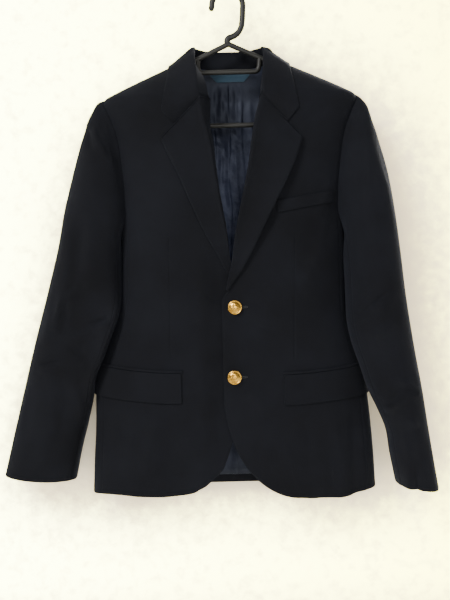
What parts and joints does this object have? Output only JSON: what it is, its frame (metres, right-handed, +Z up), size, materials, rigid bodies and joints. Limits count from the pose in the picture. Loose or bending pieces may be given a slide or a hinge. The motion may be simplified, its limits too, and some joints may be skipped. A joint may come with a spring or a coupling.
{
  "type": "school blazer on a hanger",
  "caption": "School blazer with notch lapels and flap pockets, buttoned at the front and hung on a slim moulded hanger; hollow, with open neck, hem and cuffs.",
  "frame": {"origin": "inside of the hanger hook's crook, at its top, where a rail or peg carries it", "axes": "+Z up, +Y from the blazer's front to its back, +X to the right of someone who faces the front"},
  "size_m": [0.6359, 0.126, 0.7574],
  "materials": {
    "wool": "fine near-black navy wool weave, matt, with a slight sheen",
    "satin": "navy satin lining with soft vertical creases",
    "label_cloth": "bare woven teal tape",
    "gold": "gilt, domed, with a plain ringed face",
    "plastic": "dark grey moulded plastic, slightly glossy"
  },
  "bodies": {
    "root": {"front_left": "wool", "front_right": "wool", "side_left": "wool", "side_right": "wool", "back_left": "wool", "back_right": "wool", "top_sleeve_left": "wool", "top_sleeve_right": "wool", "under_sleeve_left": "wool", "under_sleeve_right": "wool", "lapel_left": "wool", "lapel_right": "wool", "collar": "wool", "flap_left": "wool", "flap_right": "wool", "jet_left": "wool", "jet_right": "wool", "welt": "wool", "back_lining": "satin", "label": "label_cloth", "button_top": "gold", "button_bottom": "gold", "hanger_hook": "plastic", "hanger_loop": "plastic", "hanger_frame": "plastic"}
  },
  "joints": []
}
